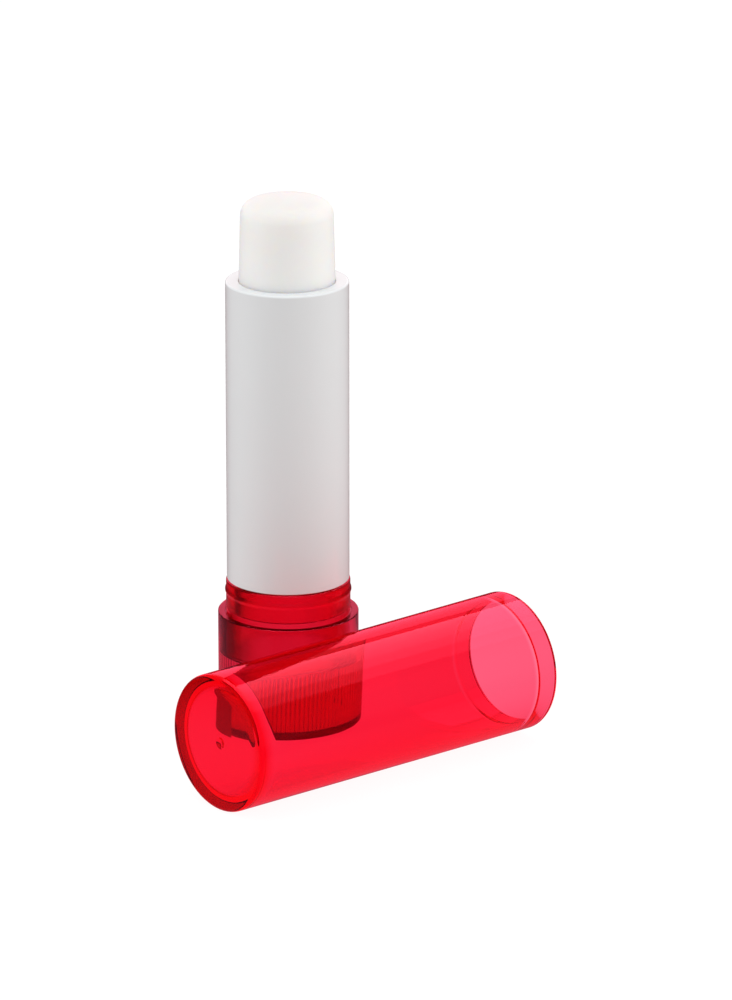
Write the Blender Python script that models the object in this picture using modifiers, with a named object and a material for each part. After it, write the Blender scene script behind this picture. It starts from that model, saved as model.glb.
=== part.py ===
"""Lip balm stick with a twist-up mechanism, standing open beside its cap.

A clear red base holds a clear red guide tube with two straight slots. A white barrel turns
on the guide tube. Two helical grooves in the barrel's bore drive the lugs of the godet, the
small cup that carries the balm, so that the balm rises when the barrel is turned.

The origin is the middle of the base's flat underside, +Z runs up the stick, and the cap
lies in front of it with its open mouth towards +X. All lengths are in metres.
"""
from math import atan, cos, pi, radians, sin, tau

import bmesh
import bpy

# Balm, the wax pencil: the radii of everything around it follow from it
BALM_RADIUS = 0.00640
BALM_TIP_RADIUS = 0.00623
BALM_LENGTH = 0.0377
BALM_TAPER_LENGTH = 0.0117
BALM_EDGE_FILLET = 0.0021
BALM_CROWN = 0.0006

# Godet, the cup under the balm, with a lug on either side
GODET_WALL = 0.0006
GODET_FLOOR = 0.0008
GODET_HEIGHT = 0.0050
LUG_RADIUS = 0.0008
LUG_HEIGHT = 0.0013
LUG_ENGAGEMENT = 0.0004

# Guide tube, with the neck and the skirt below it in one moulding
GUIDE_WALL = 0.0006
GUIDE_TOP_BRIDGE = 0.0006
NECK_STEP = 0.00013
NECK_HEIGHT = 0.0045
NECK_EDGE_FILLET = 0.00025
NECK_FLOOR_HEIGHT = 0.0003
CAP_BEAD_HEIGHT = 0.0030
CAP_BEAD_WIDTH = 0.0011
CAP_BEAD_RISE = 0.00014
SKIRT_WALL = 0.0011
BARREL_BEAD_HEIGHT = 0.0008
BARREL_BEAD_WIDTH = 0.0008
BARREL_BEAD_RISE = 0.0002

# Barrel, the white tube that is turned
BARREL_WALL = 0.00107
BARREL_LENGTH = 0.0415
BARREL_FLANGE = 0.0010
BARREL_EDGE_FILLET = 0.0003
GROOVE_DEPTH = 0.00055
LEAD = 0.0180
STROKE = 0.0360
SHOWN_LIFT = 0.0130

# Base shell, the cup that the stick stands on
BASE_WALL = 0.00102
BASE_HEIGHT = 0.01616
BASE_FLOOR = 0.0011
BASE_FOOT_FILLET = 0.0005
BASE_RIM_FILLET = 0.00015
RIB_COUNT = 88
RIB_LENGTH = 0.0094
RIB_RISE = 0.00035
RIB_BAND = 0.00006
RIB_CREST_SHARE = 0.35

# Cap, which clears the barrel and grips the neck's bead
CAP_WALL = 0.00090
CAP_END_WALL = 0.0012
CAP_HEADROOM = 0.00366
CAP_EDGE_FILLET = 0.0006
CAP_CORNER_FILLET = 0.0008
CAP_MOUTH_CHAMFER = 0.0002
CAP_GROOVE_DEPTH = 0.00015
GATE_RADIUS = 0.0006
GATE_RISE = 0.0002
CAP_STANDOFF = 0.00184
CAP_REACH_SHARE = 0.575

# Clearances between pieces
SLIDE_GAP = 0.00010
TURN_GAP = 0.00010
TURN_END_GAP = 0.00015
LUG_GAP = 0.00012
WAX_GAP = 0.00010
PRESS_GAP = 0.00008
SEAT_GAP = 0.00020
CAP_FIT_GAP = 0.00010
CAP_SLIDE_GAP = 0.00008

# Facets and the overrun of every cutter
TURN_STEPS = 64
GROOVE_STEPS_PER_TURN = 36
LUG_SIDES = 16
FILLET_POINTS = 4
CUT_OVERRUN = 0.0005
WELD_DISTANCE = 0.000001

# Radii, from the balm outwards
GODET_BORE = BALM_RADIUS - GODET_WALL
GUIDE_BORE = BALM_RADIUS + SLIDE_GAP
GUIDE_RADIUS = GUIDE_BORE + GUIDE_WALL
BARREL_BORE = GUIDE_RADIUS + TURN_GAP
BARREL_RADIUS = BARREL_BORE + BARREL_WALL
GROOVE_RADIUS = BARREL_BORE + GROOVE_DEPTH
LUG_REACH = BARREL_BORE + LUG_ENGAGEMENT
NECK_RADIUS = BARREL_RADIUS + NECK_STEP
SKIRT_BORE = NECK_RADIUS - SKIRT_WALL
BASE_BORE = NECK_RADIUS + PRESS_GAP
BASE_RADIUS = BASE_BORE + BASE_WALL
CAP_END_BORE = BARREL_RADIUS + CAP_SLIDE_GAP
CAP_MOUTH_BORE = NECK_RADIUS + CAP_FIT_GAP
CAP_END_RADIUS = CAP_END_BORE + CAP_WALL
CAP_MOUTH_RADIUS = BASE_RADIUS

# Heights above the foot
RIB_TOP = BASE_FLOOR + RIB_LENGTH
SKIRT_BOTTOM = RIB_TOP + SEAT_GAP
NECK_TOP = BASE_HEIGHT + NECK_HEIGHT
BARREL_BOTTOM = NECK_TOP + TURN_END_GAP
BARREL_TOP = BARREL_BOTTOM + BARREL_LENGTH
FLANGE_UNDERSIDE = BARREL_TOP - BARREL_FLANGE
GUIDE_TOP = FLANGE_UNDERSIDE - TURN_END_GAP
LUG_TOP = GUIDE_TOP - GUIDE_TOP_BRIDGE - LUG_GAP - LUG_RADIUS
LUG_LOW = LUG_TOP - STROKE
LUG_SHOWN = LUG_LOW + SHOWN_LIFT

# Cap, along its own axis from the closed end
CAP_LENGTH = BARREL_TOP - BASE_HEIGHT + CAP_HEADROOM + CAP_END_WALL
CAP_TAPER = (CAP_MOUTH_RADIUS - CAP_END_RADIUS) / CAP_LENGTH


def clear_scene():
    """Start from an empty file."""
    for old in list(bpy.data.objects):
        bpy.data.objects.remove(old)


def new_collection(name):
    """A collection that is linked to the scene."""
    collection = bpy.data.collections.new(name)
    bpy.context.scene.collection.children.link(collection)
    return collection


def plastic(name, colour, roughness, transmission=0.0):
    """A moulded material: opaque, or see-through where transmission is set."""
    material = bpy.data.materials.new(name)
    material.use_nodes = True
    shader = material.node_tree.nodes["Principled BSDF"]
    shader.inputs["Base Color"].default_value = (*colour, 1.0)
    shader.inputs["Roughness"].default_value = roughness
    shader.inputs["Metallic"].default_value = 0.0
    shader.inputs["Transmission Weight"].default_value = transmission
    return material


def fillet(middle, radius, start, end):
    """Points of an arc about a middle point (r, z), between two angles in degrees."""
    points = []
    for step in range(FILLET_POINTS):
        angle = radians(start + (end - start) * step / (FILLET_POINTS - 1))
        points.append((middle[0] + radius * cos(angle), middle[1] + radius * sin(angle)))
    return points


def bulge(wall_radius, height, width, rise):
    """Three points of a rounded bead on a wall, or of a groove in it, from the top down."""
    return [
        (wall_radius, height + width / 2),
        (wall_radius + rise, height),
        (wall_radius, height - width / 2),
    ]


def add_object(name, mesh, collection, material=None):
    """Link a mesh to a collection under a name, with its material."""
    thing = bpy.data.objects.new(name, mesh)
    collection.objects.link(thing)
    if material:
        mesh.materials.append(material)
    return thing


def turned(name, outline, collection, material, ring=False):
    """Turn an outline of (r, z) points about Z; its outer side runs from the top down."""
    mesh = bpy.data.meshes.new(name)
    edges = [(i, i + 1) for i in range(len(outline) - 1)]
    if ring:
        edges.append((len(outline) - 1, 0))
    mesh.from_pydata([(r, 0.0, z) for r, z in outline], edges, [])
    thing = add_object(name, mesh, collection, material)
    screw = thing.modifiers.new("turn", "SCREW")
    screw.axis = "Z"
    screw.steps = TURN_STEPS
    screw.render_steps = TURN_STEPS
    screw.use_merge_vertices = True
    screw.merge_threshold = WELD_DISTANCE
    screw.use_smooth_shade = True
    return thing


def make_cutter(name, model, collection):
    """Turn a bmesh into a hidden cutter."""
    mesh = bpy.data.meshes.new(name)
    bmesh.ops.recalc_face_normals(model, faces=model.faces)
    model.to_mesh(mesh)
    model.free()
    cutter = add_object(name, mesh, collection)
    cutter.hide_render = True
    cutter.display_type = "WIRE"
    return cutter


def boolean(thing, tool, operation):
    """Cut a tool out of a piece, or join it on."""
    modifier = thing.modifiers.new(tool.name, "BOOLEAN")
    modifier.operation = operation
    modifier.object = tool
    modifier.solver = "EXACT"


def slot_cutter(collection):
    """One bar along Y that cuts both straight slots of the guide tube."""
    model = bmesh.new()
    bmesh.ops.create_cube(model, size=1.0)
    width = 2 * (LUG_RADIUS + LUG_GAP)
    length = 2 * (GUIDE_RADIUS + CUT_OVERRUN)
    height = STROKE + width
    bmesh.ops.scale(model, vec=(width, length, height), verts=model.verts)
    bmesh.ops.translate(model, vec=(0.0, 0.0, (LUG_LOW + LUG_TOP) / 2), verts=model.verts)
    return make_cutter("slot_cutter", model, collection)


def groove_cutter(index, collection):
    """A helical bar that cuts one groove of the barrel, right-handed, from the bottom up."""
    pitch_radius = (BARREL_BORE + GROOVE_RADIUS) / 2
    slope = atan(LEAD / (tau * pitch_radius))
    half_height = (LUG_RADIUS + LUG_GAP) / cos(slope)
    end_angle = (LUG_RADIUS + LUG_GAP) / BARREL_BORE
    sweep = tau * STROKE / LEAD + 2 * end_angle
    start = pi / 2 + index * pi - tau * SHOWN_LIFT / LEAD - end_angle
    low = LUG_LOW - LEAD * end_angle / tau
    steps = round(GROOVE_STEPS_PER_TURN * sweep / tau)
    inner = BARREL_BORE - CUT_OVERRUN
    corners = (
        (inner, low - half_height),
        (GROOVE_RADIUS, low - half_height),
        (GROOVE_RADIUS, low + half_height),
        (inner, low + half_height),
    )
    model = bmesh.new()
    model.faces.new([model.verts.new((r * cos(start), r * sin(start), z)) for r, z in corners])
    bmesh.ops.spin(
        model,
        geom=model.verts[:] + model.edges[:] + model.faces[:],
        cent=(0.0, 0.0, 0.0),
        axis=(0.0, 0.0, 1.0),
        dvec=(0.0, 0.0, LEAD * sweep / tau / steps),
        angle=sweep,
        steps=steps,
        use_duplicate=False,
    )
    return make_cutter(f"groove_cutter_{index + 1}", model, collection)


def rib_cutter(collection):
    """A toothed core that leaves the fine upright ribs inside the base shell."""
    tip = BASE_BORE - RIB_BAND
    root = tip - RIB_RISE / (1 - RIB_CREST_SHARE)
    model = bmesh.new()
    bmesh.ops.create_circle(model, cap_ends=True, radius=tip, segments=2 * RIB_COUNT)
    for number, vertex in enumerate(model.verts):
        if number % 2:
            vertex.co *= root / tip
    grown = bmesh.ops.extrude_face_region(model, geom=model.faces[:])
    top = [part for part in grown["geom"] if isinstance(part, bmesh.types.BMVert)]
    bmesh.ops.translate(model, vec=(0.0, 0.0, RIB_LENGTH + CUT_OVERRUN), verts=top)
    bmesh.ops.translate(model, vec=(0.0, 0.0, BASE_FLOOR), verts=model.verts)
    return make_cutter("rib_cutter", model, collection)


def lug_bar(collection):
    """A round bar along Y whose two ends are the godet's lugs."""
    model = bmesh.new()
    bmesh.ops.create_cone(
        model,
        cap_ends=True,
        segments=LUG_SIDES,
        radius1=LUG_RADIUS,
        radius2=LUG_RADIUS,
        depth=2 * LUG_REACH,
    )
    for vertex in model.verts:
        vertex.co = (vertex.co.x, vertex.co.z, vertex.co.y)
    return make_cutter("lug_bar", model, collection)


def lug_bar_core(collection):
    """The middle of the lug bar, which is cut away so that each lug starts in the cup's wall."""
    model = bmesh.new()
    bmesh.ops.create_cone(
        model,
        cap_ends=True,
        segments=TURN_STEPS,
        radius1=GODET_BORE + GODET_WALL / 2,
        radius2=GODET_BORE + GODET_WALL / 2,
        depth=2 * (LUG_RADIUS + CUT_OVERRUN),
    )
    return make_cutter("lug_bar_core", model, collection)


def base_shell(parts, cutters, material):
    """The clear red cup: flat foot, thin wall and ribs round the inside of the lower part."""
    rib_crest = BASE_BORE - RIB_BAND - RIB_RISE
    outline = [
        (0.0, BASE_FLOOR),
        (rib_crest, BASE_FLOOR),
        (rib_crest, RIB_TOP),
        (BASE_BORE, RIB_TOP),
        (BASE_BORE, BASE_HEIGHT - BASE_RIM_FILLET),
        (BASE_BORE + BASE_RIM_FILLET, BASE_HEIGHT),
        (BASE_RADIUS - BASE_RIM_FILLET, BASE_HEIGHT),
        (BASE_RADIUS, BASE_HEIGHT - BASE_RIM_FILLET),
    ]
    outline += fillet((BASE_RADIUS - BASE_FOOT_FILLET, BASE_FOOT_FILLET), BASE_FOOT_FILLET, 0, -90)
    outline.append((0.0, 0.0))
    shell = turned("base_shell", outline, parts, material)
    boolean(shell, rib_cutter(cutters), "DIFFERENCE")
    return shell


def guide_tube(parts, cutters, material):
    """The clear red inner moulding: slotted tube on top, neck with its bead, skirt below."""
    barrel_bead = BARREL_BOTTOM + BARREL_BEAD_HEIGHT
    cap_bead = BASE_HEIGHT + CAP_BEAD_HEIGHT
    step = BASE_HEIGHT + NECK_FLOOR_HEIGHT
    edge = (NECK_RADIUS - NECK_EDGE_FILLET, NECK_TOP - NECK_EDGE_FILLET)
    outline = [(GUIDE_BORE, GUIDE_TOP), (GUIDE_RADIUS, GUIDE_TOP)]
    outline += bulge(GUIDE_RADIUS, barrel_bead, BARREL_BEAD_WIDTH, BARREL_BEAD_RISE)
    outline.append((GUIDE_RADIUS, NECK_TOP))
    outline += fillet(edge, NECK_EDGE_FILLET, 90, 0)
    outline += bulge(NECK_RADIUS, cap_bead, CAP_BEAD_WIDTH, CAP_BEAD_RISE)
    outline += [
        (NECK_RADIUS, SKIRT_BOTTOM),
        (SKIRT_BORE, SKIRT_BOTTOM),
        (SKIRT_BORE, step),
        (GUIDE_BORE, step),
    ]
    guide = turned("guide_tube", outline, parts, material, ring=True)
    boolean(guide, slot_cutter(cutters), "DIFFERENCE")
    return guide


def barrel(parts, cutters, material):
    """The white tube: flange round the mouth, snap groove and two helical grooves inside."""
    snap = BARREL_BOTTOM + BARREL_BEAD_HEIGHT
    edge = (BARREL_RADIUS - BARREL_EDGE_FILLET, BARREL_TOP - BARREL_EDGE_FILLET)
    outline = [(GUIDE_BORE, BARREL_TOP)]
    outline += fillet(edge, BARREL_EDGE_FILLET, 90, 0)
    outline += [(BARREL_RADIUS, BARREL_BOTTOM), (BARREL_BORE, BARREL_BOTTOM)]
    outline += reversed(bulge(BARREL_BORE, snap, BARREL_BEAD_WIDTH, BARREL_BEAD_RISE))
    outline += [(BARREL_BORE, FLANGE_UNDERSIDE), (GUIDE_BORE, FLANGE_UNDERSIDE)]
    tube = turned("barrel", outline, parts, material, ring=True)
    for index in range(2):
        boolean(tube, groove_cutter(index, cutters), "DIFFERENCE")
    return tube


def godet(parts, cutters, material, carriage):
    """The cup under the balm, drawn about the middle of its lugs."""
    bottom = -LUG_HEIGHT
    rim = bottom + GODET_HEIGHT
    outline = [
        (0.0, bottom + GODET_FLOOR),
        (GODET_BORE, bottom + GODET_FLOOR),
        (GODET_BORE, rim),
        (BALM_RADIUS, rim),
        (BALM_RADIUS, bottom),
        (0.0, bottom),
    ]
    cup = turned("godet", outline, parts, material)
    bar = lug_bar(cutters)
    core = lug_bar_core(cutters)
    boolean(bar, core, "DIFFERENCE")
    boolean(cup, bar, "UNION")
    for piece in (cup, bar, core):
        piece.parent = carriage
    return cup


def balm(parts, material):
    """The wax pencil: a root that fills the godet, a straight body and a domed tip."""
    root_bottom = GODET_FLOOR - LUG_HEIGHT + WAX_GAP
    shoulder = GODET_HEIGHT - LUG_HEIGHT + WAX_GAP
    root_radius = GODET_BORE - WAX_GAP
    tip = root_bottom + BALM_LENGTH
    crown_radius = BALM_TIP_RADIUS - BALM_EDGE_FILLET
    edge = (crown_radius, tip - BALM_CROWN - BALM_EDGE_FILLET)
    outline = [(0.0, tip), (crown_radius / 2, tip - BALM_CROWN / 4)]
    outline += fillet(edge, BALM_EDGE_FILLET, 90, 0)
    outline += [
        (BALM_RADIUS, tip - BALM_TAPER_LENGTH),
        (BALM_RADIUS, shoulder),
        (root_radius, shoulder),
        (root_radius, root_bottom),
        (0.0, root_bottom),
    ]
    return turned("balm", outline, parts, material)


def cap(parts, material):
    """The clear red cap, drawn upright on its closed end with its mouth at the top."""
    groove = CAP_LENGTH - CAP_BEAD_HEIGHT
    groove_radius = CAP_END_BORE + (CAP_MOUTH_BORE - CAP_END_BORE) * groove / CAP_LENGTH
    corner = (CAP_END_BORE - CAP_CORNER_FILLET, CAP_END_WALL + CAP_CORNER_FILLET)
    edge = (CAP_END_RADIUS - CAP_EDGE_FILLET, CAP_EDGE_FILLET)
    outline = [
        (0.0, CAP_END_WALL + GATE_RISE),
        (GATE_RADIUS, CAP_END_WALL + GATE_RISE),
        (GATE_RADIUS + GATE_RISE, CAP_END_WALL),
    ]
    outline += fillet(corner, CAP_CORNER_FILLET, -90, 0)
    outline += reversed(bulge(groove_radius, groove, CAP_BEAD_WIDTH, CAP_GROOVE_DEPTH))
    outline += [
        (CAP_MOUTH_BORE, CAP_LENGTH - CAP_MOUTH_CHAMFER),
        (CAP_MOUTH_BORE + CAP_MOUTH_CHAMFER, CAP_LENGTH),
        (CAP_MOUTH_RADIUS - CAP_MOUTH_CHAMFER, CAP_LENGTH),
        (CAP_MOUTH_RADIUS - CAP_TAPER * CAP_MOUTH_CHAMFER, CAP_LENGTH - CAP_MOUTH_CHAMFER),
    ]
    outline += fillet(edge, CAP_EDGE_FILLET, 0, -90)
    outline.append((0.0, 0.0))
    return turned("cap", outline, parts, material)


def lay_down(thing):
    """Lay the cap on its side in front of the stick, its tapered side flat on the ground."""
    tilt = atan(CAP_TAPER)
    thing.rotation_euler = (0.0, pi / 2 - tilt, 0.0)
    thing.location = (
        -CAP_REACH_SHARE * CAP_LENGTH,
        -(BASE_RADIUS + CAP_MOUTH_RADIUS + CAP_STANDOFF),
        CAP_END_RADIUS * cos(tilt),
    )


def build():
    """Model every piece and put it in its place."""
    clear_scene()
    parts = new_collection("lip_balm_stick")
    cutters = new_collection("cutters")
    red = plastic("clear_red_plastic", (0.80, 0.01, 0.05), 0.05, transmission=0.9)
    white = plastic("gloss_white_plastic", (0.86, 0.87, 0.88), 0.18)
    natural = plastic("natural_white_plastic", (0.80, 0.80, 0.78), 0.40)
    wax = plastic("balm_wax", (0.90, 0.89, 0.85), 0.45)

    base_shell(parts, cutters, red)
    guide_tube(parts, cutters, red)
    barrel(parts, cutters, white)

    carriage = bpy.data.objects.new("carriage_axis", None)
    parts.objects.link(carriage)
    carriage.location = (0.0, 0.0, LUG_SHOWN)
    godet(parts, cutters, natural, carriage)
    balm(parts, wax).parent = carriage

    lay_down(cap(parts, red))


build()
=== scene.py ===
# %% [markdown]
# # A twist-up lip balm stick, open, with its clear red cap lying in front of it
#
# The real stick has six pieces: a clear red base cup, a clear red inner tube that is pressed into
# it, a white barrel that turns on that tube, a small cup that rides up inside, the wax, and the
# cap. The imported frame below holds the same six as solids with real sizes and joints. They could
# be rendered as they are, but a solid that is made for its mechanics has coarse facets and no
# finish. So five pieces get a finer mesh here, and all six get a material.

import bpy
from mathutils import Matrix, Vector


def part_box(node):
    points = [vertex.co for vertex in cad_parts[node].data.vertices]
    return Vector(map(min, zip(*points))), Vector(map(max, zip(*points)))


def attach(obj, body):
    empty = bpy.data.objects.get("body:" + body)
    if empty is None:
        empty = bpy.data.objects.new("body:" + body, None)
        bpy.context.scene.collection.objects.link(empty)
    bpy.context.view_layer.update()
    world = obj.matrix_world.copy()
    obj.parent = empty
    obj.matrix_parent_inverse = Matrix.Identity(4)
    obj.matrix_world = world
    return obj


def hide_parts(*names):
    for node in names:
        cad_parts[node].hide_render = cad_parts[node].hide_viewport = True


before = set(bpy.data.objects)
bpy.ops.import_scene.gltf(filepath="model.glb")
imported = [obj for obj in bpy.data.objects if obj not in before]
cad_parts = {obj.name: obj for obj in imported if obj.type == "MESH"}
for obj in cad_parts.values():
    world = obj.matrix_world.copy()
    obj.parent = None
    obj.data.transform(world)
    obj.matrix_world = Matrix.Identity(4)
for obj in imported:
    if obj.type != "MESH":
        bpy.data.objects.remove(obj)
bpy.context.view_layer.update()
print("pieces in the frame:", sorted(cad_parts))

# %% [markdown]
# ## Millimetres and a ruler
#
# Mouldings this small are drawn in millimetres, and Blender counts in metres. The scene's unit
# scale could be changed, but the frame is in metres, so one factor turns the one into the other.
# Reading sizes back from the frame shows that both speak of one object.

# %% One factor for every length
from math import atan, cos, pi, radians, sin, tan, tau

import bmesh
import bpy
from mathutils import Matrix, Vector

MM = 0.001
scene = bpy.context.scene

for node in ("base_shell", "barrel", "balm", "cap"):
    low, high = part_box(node)
    print(node, "spans", [round((b - a) / MM, 2) for a, b in zip(low, high)], "mm")

# %% [markdown]
# ## Drawing an outline
#
# Every moulding here is round, so each is drawn as half of its cross-section and turned about its
# own axis. Steel that is cut for a mould leaves a small fillet on every edge, and it is this
# fillet that catches the light. A Bevel modifier could add it to the turned mesh, but it makes all
# edges alike. Here a corner is written as (radius, height, fillet), so each edge has its own.

# %% Round the corners of an outline
def rounded(corners, chords=8):
    """Swap every corner (r, z, fillet) for the arc that touches both of its sides."""
    outline = []
    for i, (r, z, *fillet) in enumerate(corners):
        if not fillet:
            outline.append((r, z))
            continue
        radius = fillet[0]
        corner = Vector((r, z))
        to_last = (Vector(corners[i - 1][:2]) - corner).normalized()
        to_next = (Vector(corners[(i + 1) % len(corners)][:2]) - corner).normalized()
        half = to_last.angle(to_next) / 2
        middle = corner + (to_last + to_next).normalized() * radius / sin(half)
        first = corner + to_last * radius / tan(half) - middle
        last = corner + to_next * radius / tan(half) - middle
        for step in range(chords + 1):
            spoke = first.slerp(last, step / chords).normalized()
            outline.append(tuple(middle + spoke * radius))
    return outline


print("a filleted corner becomes", len(rounded([(0, 1), (1, 1, 0.2), (1, 0)])) - 2, "points")

# %% [markdown]
# Snap fits are soft: the bead that holds the cap, and the groove that it drops into, rise and fall
# without an edge, or they would shave the plastic. Two arcs could draw that, but one turn of a
# cosine has the same form in a single line.

# %% A bead on a wall, or a groove in it
def bulge(wall, middle, width, rise, steps=12):
    """Soft bell of points from the top down: rise is outwards for a bead or a groove in a bore."""
    points = []
    for step in range(steps + 1):
        bell = (1 - cos(tau * step / steps)) / 2
        points.append((wall + rise * bell, middle + width * (0.5 - step / steps)))
    return points


print("a bead has", len(bulge(1, 0, 1, 0.1)), "points")

# %% [markdown]
# ## Turning it about the axis
#
# Blender's Screw modifier could turn an outline, but the ribs in the base and the winding grooves
# in the barrel need rings that differ, so the rings are laid one by one in bmesh. The radius of a
# point may be a number or a function of the angle, which is how ribs are made. A third number
# turns the whole ring about the axis, so that the columns of a bore can follow a screw thread.

# %% One ring of points
def ring_of_points(model, r, z, start, columns):
    """A ring about Z whose first column stands at the start angle, or one point on the axis."""
    if r == 0:
        return [model.verts.new((0, 0, z * MM))]
    ring = []
    for column in range(columns):
        angle = tau * column / columns
        reach = (r(angle) if callable(r) else r) * MM
        spot = (reach * cos(start + angle), reach * sin(start + angle), z * MM)
        ring.append(model.verts.new(spot))
    return ring


# %% Faces between two rings
def skin(model, lower, upper, shift, columns):
    """Join two rings; shift is how many columns the upper ring lags behind the lower one."""
    for i in range(columns):
        j, k = (i + 1) % columns, (i + shift) % columns
        after = (k + 1) % columns
        if len(lower) == 1:
            model.faces.new((lower[0], upper[k], upper[after]))
        elif len(upper) == 1:
            model.faces.new((lower[i], upper[0], lower[j]))
        else:
            model.faces.new((lower[i], upper[k], upper[after], lower[j]))


# %% [markdown]
# Shading needs care on clear plastic, because every bent normal bends what is seen through it. A
# sharp edge stays sharp, and a last modifier weighs the normals by the size of their faces, which
# keeps a flat wall flat right up to its small fillet.

# %% Shade a mesh smoothly and keep its true edges
CREASE = radians(35)
FACE_SIZE_WEIGHT = 80


def finished(name, model, crease=CREASE):
    """Make an object of a bmesh, smooth apart from edges sharper than the crease angle."""
    mesh = bpy.data.meshes.new(name)
    model.to_mesh(mesh)
    model.free()
    mesh.shade_smooth()
    mesh.set_sharp_from_angle(angle=crease)
    thing = bpy.data.objects.new(name, mesh)
    scene.collection.objects.link(thing)
    normals = thing.modifiers.new("flat walls stay flat", "WEIGHTED_NORMAL")
    normals.weight = FACE_SIZE_WEIGHT
    normals.keep_sharp = True
    print(name, "has", len(mesh.vertices), "points")
    return thing


# %% Turn an outline into a closed mesh
def turned(name, outline, columns=256, crease=CREASE):
    """Turn an outline of (r, z) or (r, z, start angle) about Z, and close it if it is a tube."""
    model = bmesh.new()
    rings = []
    for r, z, *turn in outline:
        start = turn[0] if turn else 0.0
        rings.append((ring_of_points(model, r, z, start, columns), start, bool(turn)))
    pairs = list(zip(rings, rings[1:]))
    is_tube = len(rings[0][0]) > 1
    if is_tube:
        pairs.append((rings[-1], rings[0]))
    for (lower, start, wound), (upper, end, winds_on) in pairs:
        shift = 0 if wound and winds_on else round((start - end) * columns / tau)
        skin(model, lower, upper, shift, columns)
    bmesh.ops.recalc_face_normals(model, faces=model.faces)
    return finished(name, model, crease)


# %% [markdown]
# ## The clear red base cup
#
# The cup that the stick stands on has a wall of one millimetre and a smooth outside. Inside its
# lower part stand 88 fine upright ribs, and the inner tube is pressed in above them. A bump
# texture could suggest the ribs, but light bends in each of them and they are seen through two
# walls, so they are real.

# %% Values of the base cup
BASE_RADIUS = 9.50
BASE_BORE = 8.48
BASE_HEIGHT = 16.16
BASE_FLOOR = 1.10
FOOT_FILLET = 0.5
EDGE_FILLET = 0.15
RIBS = 88
RIB_COLUMNS = 12
RIB_TOP = 10.50
RIB_VALLEY = 8.42
RIB_CREST = 8.07
CREST_SHARE = 0.35
print("wall", round(BASE_RADIUS - BASE_BORE, 2), "mm, ribs", round(RIB_VALLEY - RIB_CREST, 2), "mm")

# %% Base cup
def rib_wall(angle):
    """Radius of the ribbed bore: a flat crest, then a soft flank down to a narrow valley."""
    from_crest = 2 * abs((angle * RIBS / tau) % 1.0 - 0.5)
    climb = min(1.0, max(0.0, (from_crest - CREST_SHARE) / (1 - CREST_SHARE)))
    return RIB_CREST + (RIB_VALLEY - RIB_CREST) * climb * climb * (3 - 2 * climb)


base_outline = [(0, BASE_FLOOR), (rib_wall, BASE_FLOOR), (rib_wall, RIB_TOP)] + rounded([
    (BASE_BORE, RIB_TOP),
    (BASE_BORE, BASE_HEIGHT, EDGE_FILLET),
    (BASE_RADIUS, BASE_HEIGHT, EDGE_FILLET),
    (BASE_RADIUS, 0, FOOT_FILLET),
    (0, 0),
])
base_cup = turned("clear_base_cup", base_outline, columns=RIBS * RIB_COLUMNS)

# %% [markdown]
# ## The clear red inner tube
#
# One moulding makes the neck that shows above the base, the skirt that is pressed into the base
# and the thin tube that runs up inside the barrel. The neck has a soft bead for the cap to snap
# over, and the thin tube has one for the barrel. Three turned meshes could stand for the three
# parts, but hidden faces between them would show in clear plastic, so it is a single outline.

# %% Values of the inner tube
GUIDE_BORE = 6.50
GUIDE_RADIUS = 7.10
GUIDE_TOP = 61.16
NECK_RADIUS = 8.40
NECK_TOP = 20.66
NECK_FLOOR = 16.46
NECK_FILLET = 0.25
NECK_RUN = 0.6
SKIRT_BORE = 7.30
SKIRT_BOTTOM = 10.70
SKIRT_RUN = 1.0
CAP_BEAD = (19.16, 1.1, 0.14)
BARREL_BEAD = (21.61, 0.8, 0.20)
print("neck shows", round(NECK_TOP - BASE_HEIGHT, 2), "mm above the base cup")

# %% Inner tube
guide_outline = (
    rounded([(GUIDE_BORE, GUIDE_TOP), (GUIDE_RADIUS, GUIDE_TOP)])
    + bulge(GUIDE_RADIUS, *BARREL_BEAD)
    + rounded([
        (GUIDE_RADIUS, NECK_TOP), (NECK_RADIUS, NECK_TOP, NECK_FILLET),
        (NECK_RADIUS, NECK_TOP - NECK_RUN),
    ])
    + bulge(NECK_RADIUS, *CAP_BEAD)
    + rounded([
        (NECK_RADIUS, SKIRT_BOTTOM + SKIRT_RUN), (NECK_RADIUS, SKIRT_BOTTOM, EDGE_FILLET),
        (SKIRT_BORE, SKIRT_BOTTOM, EDGE_FILLET), (SKIRT_BORE, NECK_FLOOR),
        (GUIDE_BORE, NECK_FLOOR),
    ])
)
inner_tube = turned("clear_inner_tube", guide_outline)

# %% [markdown]
# ### Two straight slots
#
# Two lugs on the inner cup pass through straight slots in the thin tube, which keep them from
# turning. The slots could be left out of the columns while the mesh is laid, but a slot has to
# end where a lug ends and not where a column does. So one bar along Y is cut out of both sides.

# %% The bar to cut with
LUG_WIDTH = 1.84
LUG_LOW, LUG_TOP, LUG_SHOWN = 23.64, 59.64, 36.64
BAR_OVERRUN = 1.0

bar_size = (LUG_WIDTH, 2 * GUIDE_RADIUS + BAR_OVERRUN, LUG_TOP - LUG_LOW + LUG_WIDTH)
bar_middle = (0, 0, (LUG_LOW + LUG_TOP) / 2 * MM)
bar_model = bmesh.new()
bmesh.ops.create_cube(bar_model, size=MM)
bmesh.ops.scale(bar_model, vec=bar_size, verts=bar_model.verts)
bmesh.ops.translate(bar_model, vec=bar_middle, verts=bar_model.verts)
slot_bar = finished("slot_bar", bar_model)

# %% [markdown]
# A Boolean modifier would stay live on the piece, and its cutter would have to stay in the file.
# Reading the cut mesh back as plain data ends both.

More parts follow.
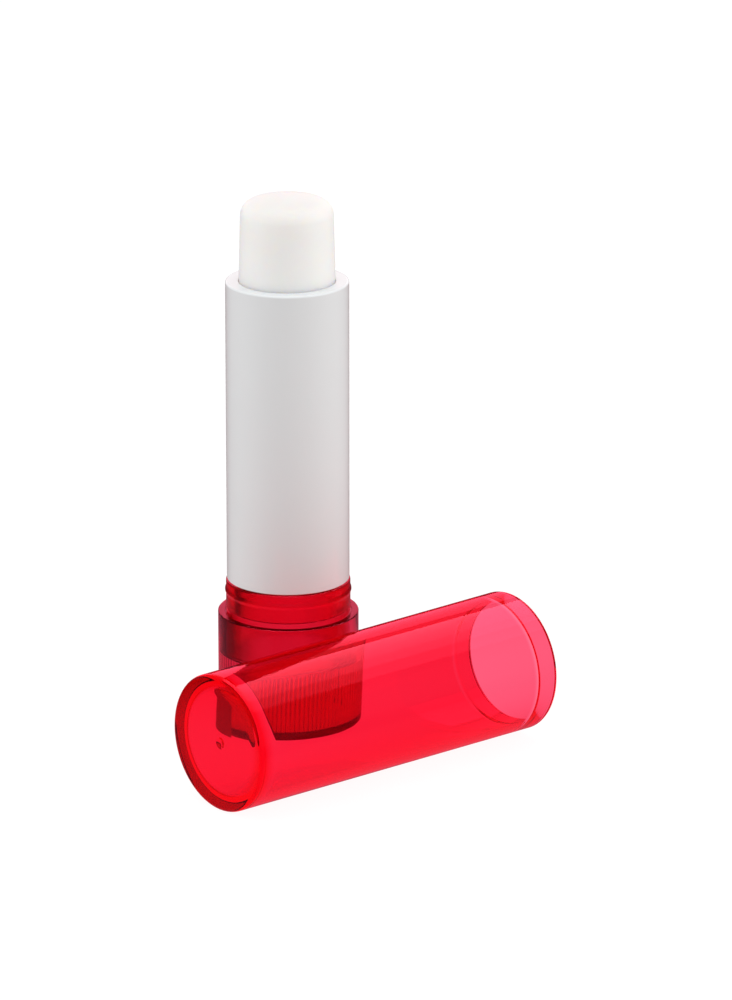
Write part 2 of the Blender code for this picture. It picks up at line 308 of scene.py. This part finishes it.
# %% Cut the slots and let the bar go
def settle(piece, cutter):
    """Cut one object out of another and keep the result as the piece's own mesh."""
    cut = piece.modifiers.new("cut", "BOOLEAN")
    piece.modifiers.move(len(piece.modifiers) - 1, 0)
    cut.object, cut.operation, cut.solver = cutter, "DIFFERENCE", "EXACT"
    shown = bpy.context.evaluated_depsgraph_get()
    mesh = bpy.data.meshes.new_from_object(piece.evaluated_get(shown))
    piece.modifiers.remove(cut)
    piece.data = mesh
    mesh.set_sharp_from_angle(angle=CREASE)
    bpy.data.objects.remove(cutter)
    print(piece.name, "has", len(mesh.vertices), "points after the cut")


settle(inner_tube, slot_bar)

# %% [markdown]
# ## The white barrel
#
# The barrel is what the user turns. Its bore has two screw grooves that lift the lugs by 18 mm in
# each turn. A swept bar could be cut out of a plain tube, but that leaves ragged faces where the
# facets and the sweep disagree. So here the bore's own columns wind with the thread, and a groove
# is a band of columns that are set back.

# %% Values of the barrel
BARREL_RADIUS = 8.27
BARREL_BORE = 7.20
BARREL_BOTTOM = 20.81
BARREL_TOP = 62.31
MOUTH_FILLET = 0.3
INNER_FILLET = 0.12
BORE_RUN = 0.3
FLANGE_UNDERSIDE = 61.31
THREAD_LOW = 22.1
THREAD_TOP = FLANGE_UNDERSIDE - 0.1
THREAD_RINGS = 140
GROOVE_DEPTH = 0.55
GROOVE_HALF_WIDTH = 0.985
LEAD = 18.0
BARREL_CREASE = radians(40)
print("the grooves make", round((LUG_TOP - LUG_LOW) / LEAD, 2), "turns")

# %% Bore with two winding grooves
def groove_wall(depth):
    """Radius of the bore round one ring: set back in two bands on opposite sides."""
    half_band = tau * GROOVE_HALF_WIDTH / LEAD

    def wall(angle):
        from_middle = abs(angle % pi - pi / 2)
        return BARREL_BORE + (depth if from_middle < half_band else 0.0)

    return wall


bore = []
for ring in range(THREAD_RINGS + 1):
    z = THREAD_LOW + (THREAD_TOP - THREAD_LOW) * ring / THREAD_RINGS
    in_groove = LUG_LOW - GROOVE_HALF_WIDTH < z < LUG_TOP + GROOVE_HALF_WIDTH
    wall = groove_wall(GROOVE_DEPTH if in_groove else 0.0)
    bore.append((wall, z, tau * (z - LUG_SHOWN) / LEAD))
print("the bore has", len(bore), "wound rings")

# %% Barrel
barrel_outline = (
    rounded([
        (GUIDE_BORE, BARREL_TOP, INNER_FILLET), (BARREL_RADIUS, BARREL_TOP, MOUTH_FILLET),
        (BARREL_RADIUS, BARREL_BOTTOM, INNER_FILLET), (BARREL_BORE, BARREL_BOTTOM, INNER_FILLET),
        (BARREL_BORE, BARREL_BOTTOM + BORE_RUN),
    ])[:-1]
    + bulge(BARREL_BORE, *BARREL_BEAD)[::-1]
    + bore
    + [(BARREL_BORE, FLANGE_UNDERSIDE), (GUIDE_BORE, FLANGE_UNDERSIDE)]
)
barrel = turned("white_barrel", barrel_outline, crease=BARREL_CREASE)

# %% [markdown]
# ## The wax
#
# The balm is poured warm and mirrors its mould: a body that narrows a little, a soft shoulder and
# a low dome. A stretched sphere could be the tip, but its shoulder would be too slack. Here the
# dome is a parabola that runs into the arc of the shoulder without a kink.

# %% Values of the wax
BALM_RADIUS = 6.46
BALM_TIP_RADIUS = 6.23
BALM_TOP = 73.94
BODY_LOW = 62.24
ROOT_RADIUS, ROOT_BOTTOM, ROOT_TOP = 5.70, 36.24, 40.44
ROOT_FILLET = 0.2
SHOULDER_FILLET = 2.1
SHOULDER_SWEEP = radians(74)
DOME_FALL = 0.0306
DOME_RINGS, SHOULDER_RINGS, BODY_RINGS = 12, 14, 24
print("the balm stands", round(BALM_TOP - BARREL_TOP, 2), "mm out of the barrel")

# %% Dome, shoulder and body of the wax
dome_radius = BALM_TIP_RADIUS - SHOULDER_FILLET * (1 - cos(SHOULDER_SWEEP))
shoulder_z = BALM_TOP - DOME_FALL * dome_radius ** 2 - SHOULDER_FILLET * sin(SHOULDER_SWEEP)

balm_outline = [(0, BALM_TOP)]
for step in range(1, DOME_RINGS):
    r = dome_radius * step / DOME_RINGS
    balm_outline.append((r, BALM_TOP - DOME_FALL * r * r))
for step in range(SHOULDER_RINGS + 1):
    angle = SHOULDER_SWEEP * (1 - step / SHOULDER_RINGS)
    r = BALM_TIP_RADIUS - SHOULDER_FILLET * (1 - cos(angle))
    balm_outline.append((r, shoulder_z + SHOULDER_FILLET * sin(angle)))
for step in range(1, BODY_RINGS):
    r = BALM_TIP_RADIUS + (BALM_RADIUS - BALM_TIP_RADIUS) * step / BODY_RINGS
    balm_outline.append((r, shoulder_z + (BODY_LOW - shoulder_z) * step / BODY_RINGS))
print("the dome reaches", round(dome_radius, 2), "mm from the axis")

# %% Wax pencil
balm_outline += rounded([
    (BALM_RADIUS, BODY_LOW), (BALM_RADIUS, ROOT_TOP, ROOT_FILLET), (ROOT_RADIUS, ROOT_TOP),
    (ROOT_RADIUS, ROOT_BOTTOM, ROOT_FILLET), (0, ROOT_BOTTOM),
])
balm = turned("wax_pencil", balm_outline, columns=192)

# %% [markdown]
# ## The cap
#
# The cap is a slim cup whose bore is tapered, so that it leaves its mould. A shallow groove near
# its mouth snaps over the neck's bead, and inside its closed end is the small nub where the
# plastic was let in. It could be drawn lying down, but an upright outline reads like a drawing of
# the part. The long flat of the closed end gets guard rings beside its fillets and the nub. Without
# them the normals drift across it, and the flat end looks into the cap like a lens.

# %% Values of the cap
CAP_LENGTH = 51.01
CAP_END_RADIUS, CAP_MOUTH_RADIUS = 9.25, 9.50
CAP_END_BORE, CAP_MOUTH_BORE = 8.35, 8.50
CAP_END_WALL = 1.10
CAP_GROOVE = (CAP_LENGTH - 3.0, 1.1, 0.22)
GATE_NUB = ((0, 0.2), (0.45, 0.19), (0.6, 0.12), (0.8, 0))
INNER_GUARDS = (0.9, 6.2)
OUTER_GUARD = 8.4
END_INNER_FILLET, END_OUTER_FILLET = 1.9, 0.6
CAP_MOUTH_FILLET = 0.2
CAP_MOUTH_RUN = 1.0
TAPER_START = (CAP_END_BORE + 0.02, 8)
print("the cap's wall is", round(CAP_MOUTH_RADIUS - CAP_MOUTH_BORE, 2), "mm thick at its mouth")

# %% Cap, drawn upright
taper = (CAP_MOUTH_BORE - CAP_END_BORE) / CAP_LENGTH
groove_bore = CAP_END_BORE + taper * CAP_GROOVE[0]
closed_end = [(r, CAP_END_WALL + rise) for r, rise in GATE_NUB]
closed_end += [(r, CAP_END_WALL) for r in INNER_GUARDS]
closed_end += [(CAP_END_BORE, CAP_END_WALL, END_INNER_FILLET), TAPER_START]
cap_outline = (
    rounded(closed_end, chords=12)
    + bulge(groove_bore, *CAP_GROOVE)[::-1]
    + rounded([
        (CAP_MOUTH_BORE, CAP_LENGTH - CAP_MOUTH_RUN),
        (CAP_MOUTH_BORE, CAP_LENGTH, CAP_MOUTH_FILLET),
        (CAP_MOUTH_RADIUS, CAP_LENGTH, CAP_MOUTH_FILLET),
        (CAP_END_RADIUS, 0, END_OUTER_FILLET), (OUTER_GUARD, 0), (0, 0),
    ], chords=12)
)
cap = turned("clear_cap", cap_outline)

# %% [markdown]
# The cap widens towards its mouth, so it lies on its side with its axis tilted by a fraction of a
# degree. A guess by eye would leave it hovering or sunk, and the slope of its wall gives the angle.

# %% Lay the cap down
CAP_END_X, CAP_Y = -29.33, -20.84

tilt = atan((CAP_MOUTH_RADIUS - CAP_END_RADIUS) / CAP_LENGTH)
end_middle = Vector((CAP_END_X, CAP_Y, CAP_END_RADIUS * cos(tilt))) * MM
cap.matrix_world = Matrix.Translation(end_middle) @ Matrix.Rotation(pi / 2 - tilt, 4, "Y")
print("the cap's axis is tilted by", round(tilt / radians(1), 2), "degrees")

# %% [markdown]
# ## Materials
#
# A finish could be painted, but a shader that is built of nodes needs no picture and looks the
# same at every size. It is a small tree: one helper adds a node and fills its sockets. A plain
# value goes in as it is, and a socket of another node is linked.

# %% Add one node
def add(tree, kind, sockets=None, **settings):
    """A shader node with its settings; a socket gets a value or a link from another node."""
    made = tree.nodes.new("ShaderNode" + kind)
    for key, value in settings.items():
        setattr(made, key, value)
    for key, value in (sockets or {}).items():
        if isinstance(value, bpy.types.NodeSocket):
            tree.links.new(value, made.inputs[key])
        else:
            made.inputs[key].default_value = value
    return made


# %% An empty material
def empty_material(name):
    """A material with no nodes, and the object's own coordinates to start from."""
    material = bpy.data.materials.new(name)
    material.use_nodes = True
    material.node_tree.nodes.clear()
    print("material:", name)
    return material, material.node_tree, add(material.node_tree, "TexCoord").outputs["Object"]


# %% Four building blocks of a finish
def noise(tree, place, scale, detail, **more):
    """Cloudy values about one half, with so many clouds to a metre."""
    sockets = {"Vector": place, "Scale": scale, "Detail": detail, **more}
    return add(tree, "TexNoise", sockets).outputs[0]


def blend(tree, share, first, second):
    """A colour between two others."""
    sockets = {0: share, 6: first, 7: second}
    return add(tree, "Mix", sockets, data_type="RGBA").outputs[2]


def spread(tree, value, low, high, start=0.3, end=0.7):
    """Stretch the start to end of a value, which is where noise mostly lies, to low and high."""
    return add(tree, "MapRange", {0: value, 1: start, 2: end, 3: low, 4: high}).outputs[0]


def bump(tree, height, strength, depth_mm, **more):
    """Normals as if the surface rose and fell with the height."""
    sockets = {"Strength": strength, "Distance": depth_mm * MM, "Height": height, **more}
    return add(tree, "Bump", sockets).outputs[0]


# %% [markdown]
# ### Clear red plastic
#
# The red is in the plastic, not on it: light loses green and blue with every tenth of a
# millimetre, so a thin wall is pink-red and a stack of walls is deep red. A tinted surface would
# give every thickness one colour. The absorption is what is left out of the colour, times the
# density. Lamps would cast a black shadow through glass, so their rays pass straight on. The skin
# has fine rubs along the piece and a slow wave, as drawn and cooled plastic has.

# %% Clear red plastic
PLASTIC_IOR = 1.49
POLISHED = (0.012, 0.05)
FROSTED = (0.18, 0.26)


def clear_red(name, streaks, colour, density, gloss=POLISHED):
    """Clear plastic that takes green and blue out of the light within it."""
    material, tree, place = empty_material(name)
    drawn = add(tree, "Mapping", {"Vector": place, "Scale": streaks}).outputs[0]
    haze = noise(tree, place, 260.0, 4.0)
    rubs = noise(tree, drawn, 1.0, 6.0, Roughness=0.6)
    worn = add(tree, "Math", {0: haze, 1: rubs}, operation="MULTIPLY").outputs[0]
    wave = noise(tree, place, 150.0, 1.0)
    flow = bump(tree, wave, 0.10, 0.05, Normal=bump(tree, rubs, 0.03, 0.02))
    glass = add(tree, "BsdfPrincipled", {
        "Base Color": (1.0, 1.0, 1.0, 1.0), "IOR": PLASTIC_IOR,
        "Roughness": spread(tree, worn, *gloss, start=0.1, end=0.6),
        "Transmission Weight": 1.0, "Specular Tint": (1.0, 0.30, 0.40, 1.0), "Normal": flow,
    })
    let_through = add(tree, "BsdfTransparent", {"Color": (0.95, 0.95, 0.95, 1.0)})
    from_lamp = add(tree, "LightPath").outputs["Is Shadow Ray"]
    sides = {0: from_lamp, 1: glass.outputs[0], 2: let_through.outputs[0]}
    surface = add(tree, "MixShader", sides).outputs[0]
    red = add(tree, "VolumeAbsorption", {"Color": colour, "Density": density}).outputs[0]
    add(tree, "OutputMaterial", {"Surface": surface, "Volume": red})
    return material


# %% [markdown]
# The three red pieces come from one batch of plastic, yet each gets its own red, which paints
# light and shade into them: the base cup takes out more red light, a painted shade, and light that
# runs along the cap's long wall loses too much red, so the cap keeps more of it, which paints it
# lighter. The inner tube is a little frosted. Polished, it would show its far side and its slots as
# hard lines, and a real neck looks smooth.

# %% Three reds
LENGTHWISE, CAP_LENGTHWISE = (900.0, 900.0, 60.0), (700.0, 700.0, 40.0)

# painted light and shade: the cup's red absorbs more red light, the cap's less
cup_red = clear_red("clear red, base cup", LENGTHWISE, (0.89, 0.0, 0.28, 1.0), 1500.0)
tube_red = clear_red("clear red, inner tube", LENGTHWISE, (0.955, 0.0, 0.28, 1.0), 1500.0, FROSTED)
cap_red = clear_red("clear red, cap", CAP_LENGTHWISE, (0.994, 0.0, 0.28, 1.0), 2100.0)

# %% [markdown]
# ### Gloss white plastic
#
# The barrel is opaque white with a polished skin. The ring round its mouth is painted a shade
# whiter: a painted highlight for the light that the flat ring catches from above and behind.
# One flat value could do, but a skin like a perfect mirror looks like porcelain. So the roughness
# drifts a little, and a very low bump keeps reflections from being dead straight.

# %% Gloss white
HIGHLIGHT_RING_START, HIGHLIGHT_RING_FULL = BARREL_TOP - MOUTH_FILLET, BARREL_TOP - 0.1


def gloss_white():
    """Opaque white with a polished skin, and a painted highlight that whitens the ring round the
    mouth.
    """
    material, tree, place = empty_material("gloss white")
    cloud = noise(tree, place, 90.0, 3.0)
    side = blend(tree, cloud, (0.73, 0.74, 0.74, 1), (0.75, 0.76, 0.76, 1))
    height = add(tree, "SeparateXYZ", {0: place}).outputs["Z"]
    # painted highlight: from the mouth fillet up, the colour turns a lighter white
    ring = spread(tree, height, 0, 1, start=HIGHLIGHT_RING_START * MM, end=HIGHLIGHT_RING_FULL * MM)
    skin_grain = noise(tree, place, 1400.0, 3.0)
    shader = add(tree, "BsdfPrincipled", {
        "Base Color": blend(tree, ring, side, (0.86, 0.89, 0.90, 1)), "IOR": PLASTIC_IOR,
        "Roughness": spread(tree, skin_grain, 0.16, 0.24),
        "Normal": bump(tree, skin_grain, 0.05, 0.01),
    })
    add(tree, "OutputMaterial", {"Surface": shader.outputs[0]})
    return material


# %% [markdown]
# ### Wax
#
# Light goes into wax and comes out a few millimetres on, which is why it looks soft and pale. A
# matt white would look like chalk, so the wax has subsurface scattering. Its red travels
# furthest, and a faint grain and a slow wave stand for the skin that forms while it sets.

# %% Balm wax
def balm_wax():
    """Off-white wax that light enters and leaves again."""
    material, tree, place = empty_material("balm wax")
    cloud = noise(tree, place, 240.0, 4.0)
    grain = noise(tree, place, 2200.0, 5.0)
    fine = bump(tree, grain, 0.10, 0.02)
    shader = add(tree, "BsdfPrincipled", {
        "Base Color": blend(tree, cloud, (0.87, 0.86, 0.835, 1), (0.90, 0.89, 0.87, 1)),
        "Roughness": spread(tree, grain, 0.34, 0.50), "IOR": 1.44,
        "Normal": bump(tree, cloud, 0.15, 0.08, Normal=fine), "Subsurface Weight": 0.8,
        "Subsurface Radius": (1.0, 0.8, 0.6), "Subsurface Scale": 2.0 * MM,
    })
    add(tree, "OutputMaterial", {"Surface": shader.outputs[0]})
    return material


# %% [markdown]
# ### The small inner cup
#
# This cup carries the wax, and its plastic is uncoloured and semi-matt. A finer mesh could be
# made for it as for the others, but it is hidden in the barrel until the balm is wound up, and
# its solid is good enough there. So it keeps its solid and only gets a finish.

# %% Uncoloured plastic
def uncoloured():
    """Semi-matt plastic as it comes from the bag."""
    material, tree, place = empty_material("uncoloured plastic")
    cloud = noise(tree, place, 200.0, 3.0)
    shader = add(tree, "BsdfPrincipled", {
        "Base Color": blend(tree, cloud, (0.74, 0.74, 0.71, 1), (0.80, 0.80, 0.78, 1)),
        "Roughness": spread(tree, cloud, 0.38, 0.48), "IOR": PLASTIC_IOR,
    })
    add(tree, "OutputMaterial", {"Surface": shader.outputs[0]})
    return material


# %% [markdown]
# ## Everything finds its place in the frame
#
# When the barrel is turned, barrel, wax and inner cup have to move as they do on the real stick.
# The meshes could be animated one by one, but the frame already has the joints. So each piece
# rides on the body that moves it, stands for one solid, and gets its finish.

# %% Ride, replace, finish
for piece, body, node, slot, material in (
    (base_cup, "base", "base_shell", "clear_red", cup_red),
    (inner_tube, "base", "guide_tube", "clear_red", tube_red),
    (barrel, "barrel", "barrel", "gloss_white", gloss_white()),
    (balm, "carriage", "balm", "balm_wax", balm_wax()),
    (cap, "cap", "cap", "clear_red", cap_red),
):
    piece.data.materials.clear()
    piece.data.materials.append(material)
    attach(piece, body)
    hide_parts(node)
    print(piece.name, "rides on", body, "and stands for", node)

# %% A finish for the inner cup's own solid
godet_finish = uncoloured()
for material_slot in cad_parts["godet"].material_slots:
    material_slot.material = godet_finish
print("the godet has", len(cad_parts["godet"].material_slots), "material slot")

# %% [markdown]
# ## Camera
#
# The stick was photographed through a long lens from 0.9 m away, which keeps its sides nearly
# parallel. A camera could be set by eye, but the round edges of base, barrel and cap are ellipses
# in the picture, and fitting these gave its place and lens.

# %% Camera
eye = Vector((-545.3, -661.4, 304.1)) * MM
aim = Vector((8.36, -6.37, 31.4)) * MM
camera = bpy.data.objects.new("camera", bpy.data.cameras.new("camera"))
scene.collection.objects.link(camera)
camera.location = eye
camera.rotation_euler = (aim - eye).to_track_quat("-Z", "Y").to_euler()
camera.data.lens = 240.8
camera.data.clip_start, camera.data.clip_end = 0.01, 50.0
scene.camera = camera
print("camera stands", round((eye - aim).length, 3), "m away")

# %% [markdown]
# ## Floor
#
# The stick stands on white paper with hardly a shadow. More light could bleach the paper, but the
# wax and the barrel would bleach with it. So the paper glows a little to the camera and through
# clear plastic, and a share of plain paper keeps the soft shadow. Mirror images are another
# matter: white ones would lie as grey veils on the red. So mirrored rays see a painted reflection:
# the paper glows dark red to them, brighter close to the stick.

# %% Rays that see white
def seen_directly(tree):
    """The kinds of ray, and a value of one for rays from the camera or through clear plastic."""
    path = add(tree, "LightPath").outputs
    rays = {0: path["Is Camera Ray"], 1: path["Is Transmission Ray"]}
    return path, add(tree, "Math", rays, operation="MAXIMUM").outputs[0]


# %% White paper that is mirrored in red
PAPER_SHARE, PAPER_GLOW = 0.15, 1.1
# painted reflection: the glow that mirrored rays see on the paper, lighter near the stick
PAINTED_REFLECTION_NEAR, PAINTED_REFLECTION_FAR = (0.60, 0.12, 0.18, 1), (0.14, 0.02, 0.04, 1)
PAINTED_REFLECTION_NEAR_REACH, PAINTED_REFLECTION_FAR_REACH = 45 * MM, 70 * MM


def floor_finish():
    """White to the camera, plain paper to light, and a painted red reflection, brighter near the
    stick, to rays that are mirrored.
    """
    material, tree, _ = empty_material("white paper")
    path, seen = seen_directly(tree)
    paper = add(tree, "BsdfDiffuse", {"Color": (0.80, 0.80, 0.80, 1.0)}).outputs[0]
    glow = add(tree, "Emission", {"Color": (1, 1, 1, 1), "Strength": PAPER_GLOW}).outputs[0]
    shown = add(tree, "MixShader", {0: PAPER_SHARE, 1: glow, 2: paper}).outputs[0]
    # painted reflection: mirrored rays see the paper glow dark red, brighter close to the stick
    where = add(tree, "NewGeometry").outputs["Position"]
    reach = add(tree, "VectorMath", {0: where}, operation="LENGTH").outputs["Value"]
    zone = {0: reach, 1: PAINTED_REFLECTION_NEAR_REACH, 2: PAINTED_REFLECTION_FAR_REACH}
    far = add(tree, "MapRange", zone, interpolation_type="SMOOTHSTEP").outputs[0]
    tint = blend(tree, far, PAINTED_REFLECTION_NEAR, PAINTED_REFLECTION_FAR)
    mirrored = add(tree, "Emission", {"Color": tint, "Strength": 1.0}).outputs[0]
    others = add(tree, "MixShader", {0: path["Is Glossy Ray"], 1: paper, 2: mirrored}).outputs[0]
    whole = add(tree, "MixShader", {0: seen, 1: others, 2: shown}).outputs[0]
    add(tree, "OutputMaterial", {"Surface": whole})
    return material


# %% Lay the paper
PAPER_HALF_WIDTH = 3.0
PAPER_GAP = 0.02

paper_model = bmesh.new()
bmesh.ops.create_grid(paper_model, x_segments=8, y_segments=8, size=PAPER_HALF_WIDTH)
bmesh.ops.translate(paper_model, vec=(0, 0, -PAPER_GAP * MM), verts=paper_model.verts)
paper = finished("paper_floor", paper_model)
paper.data.materials.append(floor_finish())

# %% [markdown]
# ## The room
#
# A white room lights the stick evenly from all sides. A sky picture could do that too, but here
# three plain backgrounds are enough: white for the camera and through clear plastic, a softer
# white as light, and a dark red for mirror images, for the reason given with the floor.

# %% World
world = bpy.data.worlds.new("studio")
scene.world = world
world.use_nodes = True
tree = world.node_tree
tree.nodes.clear()
path, seen = seen_directly(tree)
soft = add(tree, "Background", {"Color": (1, 1, 1, 1), "Strength": 0.70}).outputs[0]
mirrored = add(tree, "Background", {"Color": (0.36, 0.09, 0.13, 1), "Strength": 1.0}).outputs[0]
white = add(tree, "Background", {"Color": (1, 1, 1, 1), "Strength": 1.0}).outputs[0]
others = add(tree, "MixShader", {0: path["Is Glossy Ray"], 1: soft, 2: mirrored}).outputs[0]
whole = add(tree, "MixShader", {0: seen, 1: others, 2: white}).outputs[0]
add(tree, "OutputWorld", {"Surface": whole})
print("the world has", len(tree.nodes), "nodes")

# %% [markdown]
# ## Lamps
#
# A photographer lights such a stick with softboxes: a wide one above and one on either side, which
# leave the middle of the barrel a little darker than its sides. Point lamps would give hard
# shadows and small hot spots. A lamp's energy grows with its area, so it is worked out here from a
# radiance, where 1 looks white, and a box can change its size without changing its brightness.

# %% A softbox
def softbox(name, place, target, width, height, radiance, colour=(1, 1, 1)):
    """A rectangular lamp at a place in metres that faces a target."""
    lamp = bpy.data.lights.new(name, "AREA")
    lamp.shape, lamp.size, lamp.size_y = "RECTANGLE", width, height
    lamp.energy, lamp.color = radiance * pi * width * height, colour
    thing = bpy.data.objects.new(name, lamp)
    scene.collection.objects.link(thing)
    thing.location = place
    thing.rotation_euler = (Vector(place) - Vector(target)).to_track_quat("Z", "Y").to_euler()
    thing.visible_camera = False
    thing.visible_transmission = False
    print(name, "gives", round(lamp.energy, 2), "W")
    return thing


# %% [markdown]
# ### Red gels
#
# The streaks along the photographed cap are as red as the cap itself, though clear plastic mirrors
# a white lamp as white. Painting streaks into the material would glue them to the piece. So the
# lamps that the red pieces mirror wear red gels: three strips above, which run along the cap, and
# one low behind.

# %% Three strips above and one at the horizon
GEL_RED, HORIZON_RED = (1.0, 0.17, 0.27), (1.0, 0.08, 0.16)
GEL_X, GEL_HEIGHT, GEL_LENGTH = 0.20, 0.58, 1.0
GELS = (("back", 0.21, 0.40, 5.5), ("middle", -0.07, 0.16, 4.4), ("front", -0.26, 0.22, 2.2))
HORIZON = ((0.58, 0.69, 0.30), (0, 0, 0.03), 1.2, 0.5)

gels = []
for name, y, width, radiance in GELS:
    above, below = (GEL_X, y, GEL_HEIGHT), (GEL_X, y, 0)
    gels.append(softbox("softbox_gel_" + name, above, below, GEL_LENGTH, width, radiance, GEL_RED))
gels.append(softbox("softbox_gel_horizon", *HORIZON, 2.4, HORIZON_RED))

# %% White softboxes
UPPER_MIDDLE, LOWER_MIDDLE = (0, 0, 0.04), (0, 0, 0.03)
SIDE_SIZE = (0.35, 0.62)
COOL_WHITE = (0.96, 0.98, 1.0)

behind = softbox("softbox_behind", *HORIZON, radiance=0.9)
top = softbox("softbox_top", (0, 0, 0.70), UPPER_MIDDLE, 0.70, 0.70, radiance=0.65)
right = softbox("softbox_right", (0.404, -0.52, 0.22), LOWER_MIDDLE, *SIDE_SIZE, radiance=2.7)
left = softbox("softbox_left", (-0.58, 0.31, 0.22), LOWER_MIDDLE, *SIDE_SIZE, 2.2, COOL_WHITE)

# %% [markdown]
# ### Who sees which lamp
#
# The gels are only there to be mirrored, and the white boxes above and beside the stick only to
# light it. More lamps and walls could keep them apart, as in a studio, but Blender can say for
# each lamp which rays meet it. Light linking then says for each lamp which pieces it reaches. The
# gels reach the red pieces, and the white strip at the horizon reaches the barrel and the wax.
# The barrel itself is left out of mirror images, or it would lie grey on top of the red cap.

# %% Rays that meet the lamps and the barrel
for lamp in (top, right, left):
    lamp.visible_glossy = False
for lamp in gels:
    lamp.visible_diffuse = False
barrel.visible_glossy = False
print(len(gels), "gels are mirrored, 3 white boxes light")

# %% Pieces that the lamps reach
red_pieces = bpy.data.collections.new("lit_by_the_gels")
white_pieces = bpy.data.collections.new("lit_by_the_white_horizon")
for piece in (base_cup, inner_tube, cap):
    red_pieces.objects.link(piece)
for piece in (barrel, balm):
    white_pieces.objects.link(piece)
for lamp in gels:
    lamp.light_linking.receiver_collection = red_pieces
behind.light_linking.receiver_collection = white_pieces

# %% [markdown]
# ### A dark card
#
# A clear cup on white needs a dark edge, or it melts into the paper. Photographers stand a black
# card just out of the picture, and the cup's edge bends it into view. A darker plastic would
# darken the whole cup. Here a low curved strip of dark red stands close to the cup's left side,
# and only rays through the plastic meet it: a painted shade, which darkens the cup's left edge.
# A wider card further out works as well, but it then shows through the cap when one looks from
# another side.

# %% Bend the card round the cup
CARD_RADIUS, CARD_HEIGHT = 9.75, 19.0
CARD_FROM, CARD_SWEEP, CARD_STEPS = radians(86), radians(44), 24

towards_camera = Vector((eye.x - aim.x, eye.y - aim.y, 0)).normalized()
to_left = Vector((towards_camera.y, -towards_camera.x, 0))
card_model = bmesh.new()
posts = []
for step in range(CARD_STEPS + 1):
    angle = CARD_FROM + CARD_SWEEP * step / CARD_STEPS
    spot = (to_left * sin(angle) - towards_camera * cos(angle)) * CARD_RADIUS * MM
    posts.append([card_model.verts.new((spot.x, spot.y, z * MM)) for z in (0, CARD_HEIGHT)])
for (a, b), (c, d) in zip(posts, posts[1:]):
    card_model.faces.new((a, c, d, b))
card = finished("painted_shade_card", card_model)

# %% Give the card its colour
# painted shade: a dark red that only rays through the clear plastic see
card_material, tree, _ = empty_material("painted shade card")
painted_shade_red = add(tree, "BsdfDiffuse", {"Color": (0.22, 0.01, 0.03, 1)}).outputs[0]
add(tree, "OutputMaterial", {"Surface": painted_shade_red})
card.data.materials.append(card_material)
card.visible_camera = card.visible_diffuse = card.visible_glossy = card.visible_shadow = False

# %% [markdown]
# ## Enough bounces
#
# A ray takes two bounces to pass one wall of clear plastic. Through cap, base and inner tube it
# passes six walls, and some rays are also thrown to and fro inside them. Where the bounces run
# out, the picture turns black. The usual twelve are too few here, so the counts are raised for
# the kinds of rays that need it.

# %% Bounces
scene.cycles.max_bounces = 64
scene.cycles.transmission_bounces = 64
scene.cycles.transparent_max_bounces = 32
scene.cycles.glossy_bounces = 32
print("a ray may bounce", scene.cycles.max_bounces, "times")

# %% [markdown]
# ## Colours as written
#
# A view transform like film would soften the highlights and grey the white paper. The Standard
# view shows a colour as it is written.

# %% View
scene.view_settings.view_transform = "Standard"
